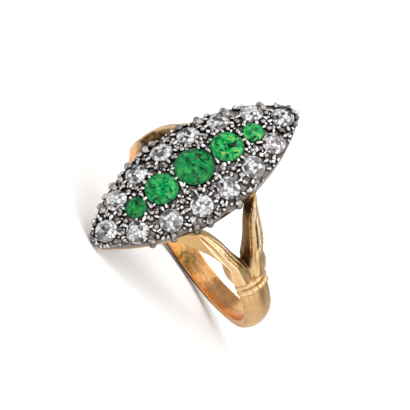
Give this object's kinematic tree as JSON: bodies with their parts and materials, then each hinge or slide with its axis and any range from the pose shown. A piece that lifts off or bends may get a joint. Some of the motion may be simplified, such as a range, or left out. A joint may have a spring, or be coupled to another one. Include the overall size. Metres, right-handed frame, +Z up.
{
  "type": "navette ring",
  "caption": "Navette cluster ring: a long boat-shaped silver head of green and clear stones on a gold hoop with split leaf shoulders, lying on its side.",
  "frame": {"origin": "on the surface the ring lies on, below the middle of its bounding box", "axes": "+Z up from the surface; the finger hole's axis leans back from +Z towards +Y by 27 degrees; the head faces -Y and up, its long side running from low at the front to high at the back"},
  "size_m": [0.0205, 0.0244, 0.0206],
  "materials": {
    "gold": "polished yellow gold, lightly worn",
    "silver": "silver, bright beads over blackened ground",
    "green_stone": "polished, cut",
    "clear_stone": "polished, cut"
  },
  "bodies": {
    "root": {"shank": "gold", "setting": "silver", "green_middle": "green_stone", "green_next_front": "green_stone", "green_next_back": "green_stone", "green_end_front": "green_stone", "green_end_back": "green_stone", "clear_tip_front": "clear_stone", "clear_tip_back": "clear_stone", "clear_right_1": "clear_stone", "clear_right_2": "clear_stone", "clear_right_3": "clear_stone", "clear_right_4": "clear_stone", "clear_right_5": "clear_stone", "clear_right_6": "clear_stone", "clear_left_1": "clear_stone", "clear_left_2": "clear_stone", "clear_left_3": "clear_stone", "clear_left_4": "clear_stone", "clear_left_5": "clear_stone", "clear_left_6": "clear_stone"}
  },
  "joints": []
}
